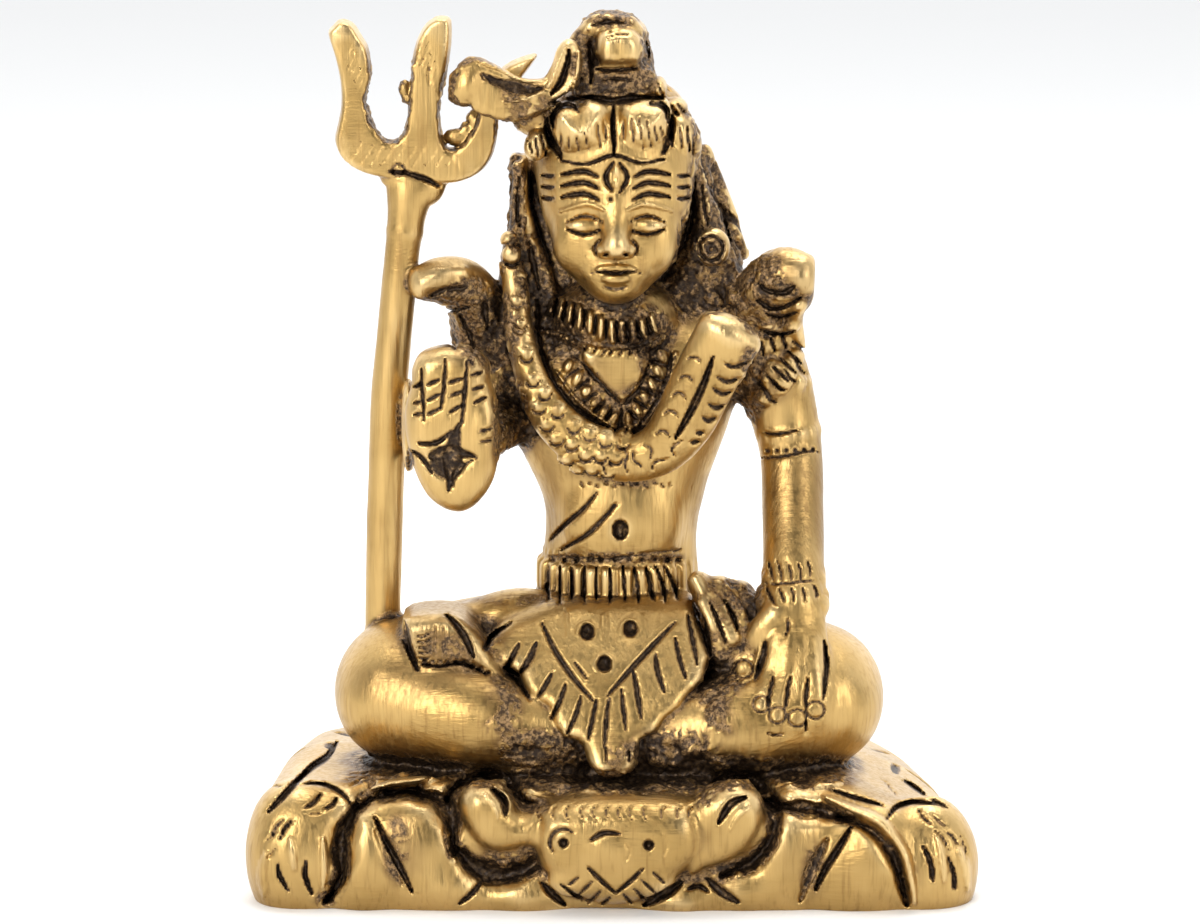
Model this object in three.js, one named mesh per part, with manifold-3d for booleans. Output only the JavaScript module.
// A seated Shiva on a tiger skin, cast in brass as one solid with the trident beside it.
// Millimetres, +Z up, the figure looks along -Y, origin under the middle of the bounding box.
import * as THREE from "three";
import { mergeVertices } from "three/addons/utils/BufferGeometryUtils.js";
import Module from "manifold-3d";

const wasm = await Module();
wasm.setup();

// Driving sizes in millimetres
const seatedHeight = 74; // from the top of the skin to the top of the hair knot
const skinWidth = 71.6;
const skinDepth = 44;
const skinThickness = 11;
const rodDiameter = 3.5;
const prongThickness = 2.8;
const crescentThickness = 2.6;
const backSlope = 0.5; // how much the skin thins towards the back, as a share for its full depth
const grooveWidth = 0.9;
const maskWidth = 16.4; // the tiger's face, on the skin's front edge
const maskHeight = 11;
const pawWidth = 9;
const beadDiameter = 2.7;

// The sculptor's grid: the seated figure is laid out in 74 equal parts, x across, y back, z above the skin.
const gridParts = 74;
const part = seatedHeight / gridParts;
const onGrid = ([x, y, z]) => new THREE.Vector3(x * part, y * part, skinThickness + z * part);

// Solids from three.js geometries

const small = { around: 6, rings: 4 }; // the facets of a small ball

function solid(geometry) {
  const bare = geometry.index ? geometry.toNonIndexed() : geometry.clone();
  for (const name of ["normal", "uv"]) bare.deleteAttribute(name);
  const merged = mergeVertices(bare, 1e-4);
  return new wasm.Manifold(
    new wasm.Mesh({
      numProp: 3,
      vertProperties: merged.attributes.position.array,
      triVerts: new Uint32Array(merged.index.array),
    }),
  );
}

const join = (solids) => solids.reduce((sum, next) => sum.add(next));

// An ellipsoid at a place in millimetres, turned by angles in degrees about X, Y and Z.
function ellipsoid(centre, radii, { turn = [0, 0, 0], around = 8, rings = 5 } = {}) {
  const geometry = new THREE.SphereGeometry(1, around, rings);
  const angles = turn.map(THREE.MathUtils.degToRad);
  geometry.scale(...radii);
  geometry.applyMatrix4(new THREE.Matrix4().makeRotationFromEuler(new THREE.Euler(...angles)));
  geometry.translate(centre.x, centre.y, centre.z);
  return solid(geometry);
}

// The same in the sculptor's grid.
const ball = (centre, radii, options) => ellipsoid(onGrid(centre), radii.map((r) => r * part), options);

// A round-ended limb through stations [x, y, z, half-width, half-depth] of the grid: a capsule whose rings
// are moved onto a curve. The half-width is measured square to the curve and to the Y axis.
function limb(stations, { around = 8, along = 3, cap = 2, blunt = 1 } = {}) {
  const line = new THREE.CatmullRomCurve3(stations.map(onGrid));
  const sizes = new THREE.CatmullRomCurve3(
    stations.map(([, , , a, b = a]) => new THREE.Vector3(a * part, b * part, 0)),
  );
  const length = 10;
  const geometry = new THREE.CapsuleGeometry(1, length, cap, around, along);
  const place = geometry.attributes.position;
  const depthAxis = new THREE.Vector3(0, 1, 0);
  for (let i = 0; i < place.count; i++) {
    const [x, y, z] = [place.getX(i), place.getY(i), place.getZ(i)];
    const share = THREE.MathUtils.clamp(y / length + 0.5, 0, 1);
    const beyond = y - THREE.MathUtils.clamp(y, -length / 2, length / 2);
    const tangent = line.getTangent(share);
    const wide = new THREE.Vector3().crossVectors(depthAxis, tangent).normalize();
    const deep = new THREE.Vector3().crossVectors(tangent, wide);
    const size = sizes.getPoint(share);
    const end = Math.min(size.x, size.y) * blunt;
    const point = line
      .getPoint(share)
      .addScaledVector(tangent, beyond * end)
      .addScaledVector(wide, -x * size.x)
      .addScaledVector(deep, z * size.y);
    place.setXYZ(i, point.x, point.y, point.z);
  }
  const made = solid(geometry);
  return made.volume() < 0 ? solid(mirrored(geometry)) : made;
}

// The same geometry with its faces turned round.
function mirrored(geometry) {
  const order = geometry.index.array;
  for (let i = 0; i < order.length; i += 3) [order[i + 1], order[i + 2]] = [order[i + 2], order[i + 1]];
  return geometry;
}

// A plate in the grid's XZ plane from an outline, its front and back at the given y, bent back by `bend(z)`.
function plate(outline, front, back, bend = () => 0) {
  const shape = new THREE.Shape(outline);
  const geometry = new THREE.ExtrudeGeometry(shape, { depth: (back - front) * part, bevelEnabled: false });
  geometry.rotateX(Math.PI / 2);
  geometry.translate(0, back * part, 0);
  const place = geometry.attributes.position;
  for (let i = 0; i < place.count; i++) {
    const z = place.getZ(i);
    place.setXYZ(i, place.getX(i), place.getY(i) + bend(z / part) * part, z + skinThickness);
  }
  return solid(geometry);
}

// Points of a smooth closed line through grid points [x, z].
function smoothOutline(points, divisions) {
  const line = new THREE.CatmullRomCurve3(
    points.map(([x, z]) => new THREE.Vector3(x * part, z * part, 0)),
    true,
  );
  return line.getPoints(divisions).slice(0, -1).map((p) => new THREE.Vector2(p.x, p.y));
}

// A fluted band: a drum whose sides go in and out, squashed to an ellipse.
function flutedBand(centre, [halfWidth, halfDepth, height], flutes, turn = [0, 0, 0]) {
  const geometry = new THREE.CylinderGeometry(1, 1, 1, flutes * 2, 1);
  const place = geometry.attributes.position;
  const fluteDepth = 0.09;
  for (let i = 0; i < place.count; i++) {
    const [x, y, z] = [place.getX(i), place.getY(i), place.getZ(i)];
    const step = Math.round((Math.atan2(x, z) / Math.PI) * flutes);
    const reach = Math.hypot(x, z) > 0.5 && step % 2 !== 0 ? 1 - fluteDepth : 1;
    place.setXYZ(i, x * reach * halfWidth * part, y * height * part, z * reach * halfDepth * part);
  }
  geometry.rotateX(Math.PI / 2);
  const angles = turn.map(THREE.MathUtils.degToRad);
  geometry.applyMatrix4(new THREE.Matrix4().makeRotationFromEuler(new THREE.Euler(...angles)));
  const middle = onGrid(centre);
  geometry.translate(middle.x, middle.y, middle.z);
  return solid(geometry);
}

// A straight V-bottomed cut from one point to another, in millimetres, as deep as it is wide.
function cut(from, to, width = grooveWidth, depth = 1.6) {
  const run = new THREE.Vector3().subVectors(to, from);
  const geometry = new THREE.CylinderGeometry(width / 2, width / 2, run.length(), 4, 1);
  geometry.scale(1, 1, (2 * depth) / width);
  const alongRun = run.clone().normalize();
  const inward = new THREE.Vector3(0, 1, 0);
  const side = new THREE.Vector3().crossVectors(alongRun, inward).normalize();
  const deep = new THREE.Vector3().crossVectors(side, alongRun);
  const middle = new THREE.Vector3().addVectors(from, to).multiplyScalar(0.5);
  geometry.applyMatrix4(new THREE.Matrix4().makeBasis(side, alongRun, deep).setPosition(middle));
  return solid(geometry);
}

// The tiger skin

// The half-width and half-depth of the skin's outline in direction `angle`, a rounded rectangle that narrows
// to the back.
function skinEdge(angle) {
  const squareness = 2 / 4.2;
  const power = (value) => Math.sign(value) * Math.abs(value) ** squareness;
  const y = (skinDepth / 2) * power(Math.sin(angle));
  const narrowing = 0.1 * (y / skinDepth + 0.5);
  return [(skinWidth / 2) * power(Math.cos(angle)) * (1 - narrowing), y];
}

function skinSlab() {
  // [share of the way out to the edge, share of the thickness]
  const profile = [[0, 0], [0.985, 0], [1, 0.28], [0.975, 0.68], [0.92, 0.93], [0.8, 1.01], [0, 1.05]];
  const points = profile.map(([out, up]) => new THREE.Vector2(out, up));
  const geometry = new THREE.LatheGeometry(points, 32);
  const place = geometry.attributes.position;
  for (let i = 0; i < place.count; i++) {
    const [x, y, z] = [place.getX(i), place.getY(i), place.getZ(i)];
    const out = Math.hypot(x, z);
    const [edgeX, edgeY] = skinEdge(Math.atan2(z, x));
    const lowering = 1 - backSlope * Math.max(0, (out * edgeY) / skinDepth);
    place.setXYZ(i, out * edgeX, out * edgeY, y * skinThickness * lowering);
  }
  return solid(mirrored(geometry));
}

const skinFront = -skinDepth / 2;

function tigerMask() {
  const half = maskWidth / 2;
  const at = (x, out, z) => new THREE.Vector3(x * half, skinFront - out, z * maskHeight);
  const brow = ellipsoid(at(0, -1.2, 0.6), [half, 3.2, maskHeight * 0.46], { around: 10 });
  const muzzle = ellipsoid(at(0, 0.1, 0.34), [half * 0.52, 2.3, maskHeight * 0.33]);
  const nose = ellipsoid(at(0, 1.3, 0.48), [half * 0.2, 1.3, maskHeight * 0.2], small);
  const features = [brow, muzzle, nose];
  const hollows = [];
  for (const side of [-1, 1]) {
    const turn = [0, side * -28, 0];
    const ear = ellipsoid(at(side * 1.34, -0.9, 0.8), [half * 0.48, 2.1, maskHeight * 0.27], { turn });
    const earHollowSize = [half * 0.3, 1.4, maskHeight * 0.15];
    const earHollow = ellipsoid(at(side * 1.42, 1.2, 0.82), earHollowSize, { turn, ...small });
    const eye = ellipsoid(at(side * 0.5, 1, 0.68), [half * 0.2, 1.2, maskHeight * 0.12], small);
    const mouth = cut(at(0, 2.3, 0.14), at(side * 0.42, 1.7, 0.34));
    features.push(ear, eye);
    hollows.push(earHollow, mouth);
  }
  return join(features).subtract(join(hollows));
}

// A front paw that droops over the skin's corner, and the cuts between its claws.
function paw(side) {
  const centreX = side * (skinWidth / 2 - pawWidth / 2);
  const at = (across, out, up) =>
    new THREE.Vector3(centreX + side * across * pawWidth, skinFront - out, up * skinThickness);
  const radii = [pawWidth / 2, 5, skinThickness * 0.66];
  const body = ellipsoid(at(0, -4.4, 0.4), radii, { around: 10, rings: 6 });
  const clawCuts = [-0.1, 0.2].map((across) => cut(at(across, 0.5, 0.14), at(across * 0.6, 0.3, 0.52)));
  return { raised: body, cuts: join(clawCuts) };
}

// The gathers of the skin's front edge: on each side a furrow beside the paw and two hanging folds.
function skinFolds(side) {
  const halfWidth = skinWidth / 2;
  const at = ([x, out, z]) => new THREE.Vector3(side * x * halfWidth, skinFront - out, z * skinThickness);
  const furrowWidth = 1.5;
  const furrow = [[0.76, 0.1, 0], [0.7, 0, 0.6], [0.64, -2.2, 1]].map(at);
  const folds = [
    { centre: [0.57, -2.6, 0.36], wide: 0.062, out: 3.6, high: 0.72, tilt: 10 },
    { centre: [0.42, -2.2, 0.08], wide: 0.075, out: 2.9, high: 0.62, tilt: 32 },
  ].map(({ centre, wide, out, high, tilt }) => {
    const radii = [wide * skinWidth, out, high * skinThickness];
    return ellipsoid(at(centre), radii, { turn: [0, side * tilt, 0], rings: 6 });
  });
  const cuts = [cut(furrow[0], furrow[1], furrowWidth), cut(furrow[1], furrow[2], furrowWidth)];
  return { raised: join(folds), cuts: join(cuts) };
}

function tigerSkin() {
  const pieces = [-1, 1].flatMap((side) => [paw(side), skinFolds(side)]);
  const raised = join([skinSlab(), ...pieces.map((piece) => piece.raised)]);
  const cuts = join(pieces.map((piece) => piece.cuts));
  const below = new THREE.BoxGeometry(skinWidth * 2, skinDepth * 2, skinThickness);
  below.translate(0, 0, -skinThickness / 2);
  return raised.subtract(cuts).add(tigerMask()).subtract(solid(below));
}

// The body

function legs() {
  const hips = ball([0, 6, 6.5], [14, 10, 8.5], { around: 10 });
  const lap = ball([0, -8.6, 2], [9, 4.4, 3.6]);
  const made = [hips, lap];
  for (const side of [-1, 1]) {
    const rise = side < 0 ? 0.6 : -0.4; // the right knee is held a little higher
    const thigh = [
      [side * 5, 5, 8, 7, 6.6],
      [side * 13, 1, 8.4, 6.8, 7],
      [side * 20.2, -5, 7.4 + rise, 6.8, 7.1],
    ];
    const shin = [
      [side * 20.6, -7.6, 6.6 + rise, 6.1, 6.3],
      [side * 13.4, -11, 5.6 + rise, 5.2, 5.6],
      [side * 6.4, -12, 4, 4, 4.2],
      [0, -11, 3, 3, 3],
    ];
    made.push(limb(thigh, { around: 10 }), limb(shin, { around: 10 }));
  }
  return join(made);
}

function torso() {
  const hips = [0.6, 3, 9, 10, 8];
  const belly = [[0.8, 1.8, 16, 8.6, 6.6], [1, 1.1, 22, 7.8, 5.6], [1.1, 0.8, 27, 8.5, 5.9]];
  const chest = [[0.8, 0.8, 33, 10.8, 6.6], [0.6, 1.2, 38.5, 12.2, 6.8], [0.4, 2, 43, 11.2, 5.8]];
  const neck = [[0.3, 2, 47, 5.2, 4.8], [0.3, 1.5, 52, 4.2, 4.4]];
  return limb([hips, ...belly, ...chest, ...neck], { around: 12, along: 8, blunt: 0.6 });
}

// The raised right arm, with the palm that faces the viewer and a web of metal from it to the rod.
function rightArm() {
  const elbow = [-10.8, -1.2, 33.4, 3.4];
  const upper = limb([[-9.5, 2, 42.5, 4.4], [-11.6, 0.8, 38, 4], elbow]);
  const fore = limb([elbow, [-13, -5.6, 32, 3], [-15.2, -10, 32.6, 2.8]]);
  const palmLine = [[-15.2, -12, 28.6, 2.9, 2.2], [-15.6, -12, 35, 4.3, 2.3], [-15.7, -12, 40.6, 3.4, 1.9]];
  const palm = limb(palmLine, { around: 12 });
  const web = limb([[-19, -10.5, 31, 1], [-21.4, -4, 30.5, 1.2]], { around: 6, along: 2 });
  const fingerCuts = [-18.2, -15.9, -13.5].map((x) =>
    cut(onGrid([x, -14.1, 35]), onGrid([x + 0.2, -13.8, 41.4]), grooveWidth * 0.8, grooveWidth),
  );
  const hollow = ball([-15.3, -14.6, 32.2], [1.7, 1.2, 2.3], small);
  return join([upper, fore, palm, web]).subtract(join([...fingerCuts, hollow]));
}

// A band round the arm from one place to another, both [x, y, z, radius] in the grid.
const armBand = (from, to) => limb([from, to], { around: 10, along: 1, cap: 1, blunt: 0.2 });

// The left arm, straight down to a hand that lies on the knee, with its armlet, band and bracelet.
function leftArm() {
  const arm = limb(
    [
      [10, 2, 43, 4.6],
      [14.8, 0.8, 39.5, 4.1],
      [17.4, -0.2, 32, 3.1],
      [17.8, -3.6, 24, 3],
      [17.7, -8.4, 16.5, 3],
    ],
    { along: 7 },
  );
  const armlet = armBand([14.6, 0.4, 40.6, 4.6], [16.6, 0, 37.4, 4.3]);
  const band = armBand([17.2, -0.1, 33.3, 3.6], [17.5, -0.2, 31.6, 3.6]);
  const bracelet = armBand([17.8, -6.6, 19.2, 3.5], [17.7, -9, 15.9, 3.8]);
  const hand = limb([[17.7, -9, 15.5, 3.3, 2.2], [17.6, -12, 11.5, 4.1, 2], [17.9, -13.6, 7.8, 3.5, 1.4]]);
  const thumb = limb([[15, -11, 13.8, 1.5], [13.4, -12.8, 11, 1.4], [12.9, -13.6, 9.6, 1.5]], {
    around: 6,
    along: 2,
    cap: 1,
  });
  const fingerTips = [5.9, 5, 4.9, 6.2];
  const fingers = fingerTips.map((tip, i) =>
    limb([[15.6 + i * 1.5, -13.2, 9.5, 0.95], [15.6 + i * 1.55, -14.2, tip, 1]], {
      around: 6,
      along: 1,
      cap: 1,
    }),
  );
  return join([arm, armlet, band, bracelet, hand, thumb, ...fingers]);
}

// A cobra head that rises from each armlet.
function shoulderCobra(side) {
  const neck = [[side * 13.2, 0.6, 40.5, 3.4], [side * 13.8, -1, 45, 3.4]];
  const hood = [[side * 16.2, -3, 47.8, 3.2], [side * 18.8, -4.4, 47.6, 1.6]];
  return limb([...neck, ...hood], { blunt: 0.7 });
}

// The head

function head() {
  const chin = [[0.2, -5.2, 47.6, 2.6, 2.4], [0.2, -3.4, 50.4, 5.8, 5.4]];
  const skull = [[0.3, -2.2, 54, 7.7, 7], [0.3, -1.4, 58, 8, 7.7], [0.3, -0.8, 62, 6.6, 6.8]];
  const noseLine = [[0.2, -7.6, 56.6, 0.8], [0.2, -8.6, 54.4, 0.9], [0.2, -9, 52.8, 1.3]];
  const features = [
    limb([...chin, ...skull], { around: 12, along: 6, blunt: 0.7 }),
    limb(noseLine, { around: 6, along: 2, cap: 1 }),
    ball([0.2, -8.3, 50.4], [1.8, 1, 0.8], small), // lips
    ball([0.3, -9, 58.2], [0.8, 0.8, 1.5], small), // the third eye
  ];
  for (const side of [-1, 1]) {
    features.push(ball([0.3 + side * 3.5, -7.2, 54.8], [2.1, 1.4, 1], small)); // a lowered eyelid
    features.push(ball([0.1 + side * 9.3, -0.9, 51.6], [2.2, 2.8, 2.3])); // an ear ornament
  }
  return join(features);
}

// Long hair behind the head and down the back, the rolled locks over the brow and the knot on top.
function hair() {
  const behindHead = [
    [0.2, 2.6, 64, 7, 5.5],
    [0.4, 3.6, 57, 10, 5.6],
    [0.7, 4.2, 50, 11.8, 5.4],
    [0.7, 4.6, 44, 12.4, 4.8],
  ];
  const downBack = [
    [0.7, 6.5, 48, 10, 3.6],
    [0.8, 7.2, 38, 9, 3],
    [0.8, 6.6, 29, 6.4, 2.6],
    [0.8, 6.6, 23, 3, 2],
  ];
  const knotLine = [
    [0.6, -0.2, 63, 6.2, 5.8],
    [0.6, -0.1, 67, 5.2, 5],
    [0.5, 0.1, 71, 3.9, 4],
    [0.2, 0.3, 72.6, 3, 3.2],
  ];
  const crestLine = [[1.3, -3, 66, 2.6, 2.2], [1.3, -3.4, 68.6, 2.5, 2], [1.3, -3.2, 70.4, 2.6, 2.1]];
  const locks = [
    [[-2.5, -6.2, 62.1], [3.7, 3.2, 3.3]],
    [[4, -6.2, 62.1], [3.9, 3.2, 3.3]],
    [[-7, -3.6, 61.2], [2.4, 3.4, 3]],
    [[7.6, -2.6, 61.2], [2.3, 3.8, 3.2]],
    [[-5.4, -3.4, 65], [3, 3, 2.4]],
    [[5.8, -2.6, 65], [2.8, 3.4, 2.4]],
  ];
  return join([
    limb(behindHead, { around: 12, blunt: 0.7 }),
    limb(downBack, { around: 10, blunt: 0.7 }),
    ball([0.3, 0.4, 61.5], [9.4, 8.4, 5.4], { around: 10 }),
    limb(knotLine, { around: 10, blunt: 0.45 }),
    limb(crestLine, { along: 2, blunt: 0.8 }),
    ...locks.map(([centre, radii]) => ball(centre, radii)),
  ]);
}

// The crescent moon stands at the knot's right side.
function crescent() {
  const outer = [[-15.4, 68.6], [-14.6, 66.6], [-11.8, 64.2], [-9, 63], [-6, 63.4], [-3.6, 65.6]];
  const rightHorn = [[-2.2, 68.4], [-2.3, 70.8], [-3.3, 71.4], [-4.7, 69.8]];
  const inner = [[-5.4, 67.4], [-7.3, 66], [-9.6, 66.2], [-12, 68.2], [-14.2, 70.2]];
  const back = -4.6;
  const root = ball([-6.5, -3.4, 64], [3.4, 2.4, 2]);
  const outline = smoothOutline([...outer, ...rightHorn, ...inner], 24);
  return plate(outline, back - crescentThickness / part, back).add(root);
}

// Ornaments and cloth

// The string of beads at the figure's right, which passes into the serpent that hangs round the neck.
function garland() {
  const upper = [[-9.6, -2.6, 52], [-9.8, -4, 48], [-9.4, -5.2, 44]];
  const lower = [[-8.6, -6, 40.4], [-7, -6.4, 37.2], [-5.2, -6.8, 35]];
  const string = new THREE.CatmullRomCurve3([...upper, ...lower].map(onGrid));
  const spacing = 0.95 * beadDiameter;
  const count = Math.max(2, Math.round(string.getLength() / spacing));
  const radii = [beadDiameter / 2, beadDiameter / 2, beadDiameter / 2];
  const beads = string.getSpacedPoints(count - 1).map((place) => ellipsoid(place, radii, small));
  const cord = limb(
    [
      [-9.6, -2, 52, 0.9, 1.4],
      [-9.6, -3.4, 46, 0.9, 1.6],
      [-8.6, -4.4, 40.4, 1.1, 2],
      [-6, -5, 35.6, 1.6, 2],
    ],
    { around: 6, cap: 1 },
  );
  const serpent = limb(
    [
      [-6, -5.6, 35.6, 1.8, 1.8],
      [-3.6, -6.4, 33.6, 2.3, 2],
      [0.5, -6.9, 32.7, 2.6, 2.1],
      [4.6, -7.4, 34.2, 2.8, 2.3],
      [7.4, -8.8, 37.6, 2.9, 2.5],
      [9.7, -10, 41.6, 3, 2.6],
      [11.4, -10.8, 44.4, 3.1, 2.6],
    ],
    { along: 6 },
  );
  return join([...beads, cord, serpent]);
}

// The ribbed choker, the cord below it and the V of the long necklace with its plate.
function necklaces() {
  const choker = flutedBand([0.3, -0.6, 45.2], [6.6, 6.6, 3], 12, [14, 0, 0]);
  const cordLine = [
    [-5.6, -3.6, 43.8, 0.9],
    [-2.6, -5.9, 42.4, 0.9],
    [3.6, -5.6, 42.6, 0.9],
    [6, -3.4, 44, 0.9],
  ];
  const outline = [[-5.2, 41.6], [0.8, 33.8], [6.4, 41.6]];
  const points = outline.map(([x, z]) => new THREE.Vector2(x * part, z * part));
  return join([choker, limb(cordLine), plate(points, -6.9, -3)]);
}

function belt() {
  return flutedBand([0.4, 0.9, 18.8], [9, 7.6, 3.6], 16);
}

// The loincloth: a pointed apron with a scalloped edge that hangs from the belt over the crossed shins. Its
// border is fluted, and two cuts mark off the middle field with its three punched holes.
function loincloth() {
  const corners = [[-12.4, 13.6], [0, -0.8], [12.6, 15]];
  const scallops = 5;
  const bulge = 0.7;
  const outline = [[9, 17.6], [-8.6, 17.4]];
  for (const [edge, slope] of [[0, -1], [1, 1]]) {
    const [from, to] = [corners[edge], corners[edge + 1]];
    for (let i = 0; i < scallops; i++) {
      for (const [within, out] of [[0, 0], [0.3, bulge], [0.7, bulge]]) {
        const share = (i + within) / scallops;
        const x = from[0] + (to[0] - from[0]) * share + slope * out;
        outline.push([x, from[1] + (to[1] - from[1]) * share - out]);
      }
    }
  }
  outline.push(corners[2]);
  const hemFront = -18.9;
  const fall = (z) => 0.34 * z + 0.021 * z * z; // the cloth lies back from the hem to the belt
  const points = outline.map(([x, z]) => new THREE.Vector2(x * part, z * part));
  const apron = plate(points, hemFront, hemFront + 5.5, fall);
  const cuts = [];
  for (const side of [-1, 1]) {
    const at = (x, z) => onGrid([side * x, hemFront + fall(z), z]);
    cuts.push(cut(at(7.6, 14.6), at(0.4, 5), grooveWidth, 1));
    for (const [x, z] of [[7.5, 10.6], [5.3, 7.6], [3, 4.9]]) {
      cuts.push(cut(at(x - 1.2, z + 1.1), at(x + 1.1, z - 1.2), grooveWidth, 1));
    }
  }
  const holes = [[-2.5, 14.4], [1.8, 14.4], [-0.9, 10.6]].map(([x, z]) => {
    const hole = new THREE.CylinderGeometry(0.6 * part, 0.6 * part, 3 * part, 6);
    const middle = onGrid([x, hemFront + fall(z), z]);
    hole.translate(middle.x, middle.y, middle.z);
    return solid(hole);
  });
  return apron.subtract(join([...cuts, ...holes]));
}

// The end of the cloth that lies in folds over the left hip and thigh.
function hipCloth() {
  const folds = [0, 1, 2].map((i) => {
    const top = [8.6 + i * 2.1, -6 + i * 0.8, 18 - i * 0.6, 1.6, 3];
    const hem = [11.4 + i * 2.2, -9 + i * 1.2, 12.6, 1.7, 3];
    return limb([top, hem], { around: 6, along: 1, cap: 1 });
  });
  return join(folds);
}

// The trident

// The three prongs, filed by hand and each a little different.
function tridentHead() {
  const leftProng = [[-25.2, 59.2], [-27.2, 61.6], [-26.9, 64], [-26.8, 67], [-27.9, 71.7], [-26.8, 73.3]];
  const leftBight = [[-24.6, 71.8], [-23.5, 68], [-24, 64.8], [-23.2, 62.8], [-21.9, 62.1], [-20.7, 63.4]];
  const midProng = [[-20.2, 67], [-19.5, 71.6], [-17.8, 73.7], [-16, 73.6], [-15.9, 70], [-16.6, 65]];
  const rightBight = [[-16.2, 62.4], [-14.8, 61.3], [-13.2, 62], [-12.3, 64.4]];
  const rightProng = [[-10.6, 68], [-7.2, 70.2], [-8.8, 67], [-10.2, 63], [-11.4, 59.8], [-13.6, 58]];
  const socket = [[-17, 57.4], [-22.2, 57.6]];
  const outline = [...leftProng, ...leftBight, ...midProng, ...rightBight, ...rightProng, ...socket];
  const middle = -3;
  const half = prongThickness / 2 / part;
  return plate(smoothOutline(outline, 48), middle - half, middle + half);
}

// The rod stands on the skin behind the right knee and widens into a collar under the prongs.
function trident() {
  const foot = onGrid([-23.2, -2, 0]).setZ(skinThickness * 0.7);
  const top = onGrid([-19.8, -3, 57]);
  const run = new THREE.Vector3().subVectors(top, foot);
  const up = new THREE.Vector3(0, 1, 0);
  const turn = new THREE.Quaternion().setFromUnitVectors(up, run.clone().normalize());
  const cone = (length, lowRadius, highRadius, start) => {
    const geometry = new THREE.CylinderGeometry(highRadius, lowRadius, length, 10, 1);
    geometry.translate(0, start + length / 2, 0);
    geometry.applyQuaternion(turn);
    geometry.translate(foot.x, foot.y, foot.z);
    return solid(geometry);
  };
  const radius = rodDiameter / 2;
  const collarLength = 5 * part;
  const shaft = cone(run.length(), radius, radius, 0);
  const collar = cone(collarLength + 1.2, radius, radius * 1.65, run.length() - collarLength);
  return join([shaft, collar, tridentHead()]);
}

// The casting

function casting() {
  const figure = join([
    tigerSkin(), legs(), torso(), rightArm(), leftArm(), shoulderCobra(-1), shoulderCobra(1), head(), hair(),
    crescent(), garland(), necklaces(), belt(), loincloth(), hipCloth(), trident(),
  ]);
  const { numProp, vertProperties, triVerts } = figure.getMesh();
  const geometry = new THREE.BufferGeometry();
  const places = new Float32Array((vertProperties.length / numProp) * 3);
  for (let i = 0; i < places.length / 3; i++) {
    places.set(vertProperties.subarray(i * numProp, i * numProp + 3), i * 3);
  }
  geometry.setAttribute("position", new THREE.BufferAttribute(places, 3));
  geometry.setIndex(new THREE.BufferAttribute(triVerts, 1));
  geometry.computeVertexNormals();
  return geometry;
}

const brass = new THREE.MeshStandardMaterial({ color: 0xb08a45, roughness: 0.32, metalness: 1 });
const shivaFigure = new THREE.Mesh(casting(), brass);
shivaFigure.name = "shiva_figure";
shivaFigure.geometry.computeBoundingBox();
const { min, max } = shivaFigure.geometry.boundingBox;
shivaFigure.position.set(-(min.x + max.x) / 2, -(min.y + max.y) / 2, -min.z);

const statue = new THREE.Group();
statue.add(shivaFigure);
export default statue;
